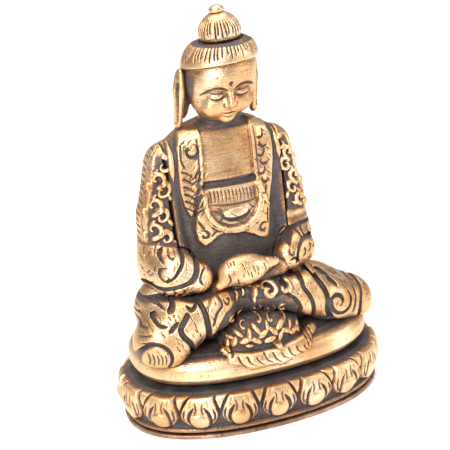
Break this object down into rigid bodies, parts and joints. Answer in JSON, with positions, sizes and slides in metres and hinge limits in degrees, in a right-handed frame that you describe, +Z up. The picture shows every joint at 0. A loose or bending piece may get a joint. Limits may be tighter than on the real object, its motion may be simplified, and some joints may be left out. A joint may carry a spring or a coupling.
{
  "type": "buddha statue",
  "caption": "Small cast brass statuette of a robed figure seated cross-legged in meditation on an oval lotus pedestal.",
  "frame": {"origin": "middle of the flat underside", "axes": "+Z up, the figure faces -Y, and its own left hand is on the +X side"},
  "size_m": [0.0886, 0.0544, 0.1286],
  "materials": {
    "patinated_brass": "polished on the raised parts, with a dark brown-grey patina in the recesses and on the plain fields",
    "copper_sheet": "plain rolled sheet, dull and slightly tarnished",
    "brass_wire": "plain turned or drawn metal, dull"
  },
  "bodies": {
    "root": {"base_plate": "copper_sheet", "base_screw_left_back": "brass_wire", "base_screw_left_front": "brass_wire", "base_screw_right_back": "brass_wire", "base_screw_right_front": "brass_wire", "lotus_base": "patinated_brass", "seat": "patinated_brass", "tang_pin_right": "brass_wire", "tang_pin_left": "brass_wire", "legs": "patinated_brass", "front_ornament": "patinated_brass", "torso": "patinated_brass", "right_arm": "patinated_brass", "left_arm": "patinated_brass", "right_hand": "patinated_brass", "left_hand": "patinated_brass", "head": "patinated_brass", "right_ear": "patinated_brass", "left_ear": "patinated_brass", "topknot": "patinated_brass", "finial": "patinated_brass"}
  },
  "joints": []
}
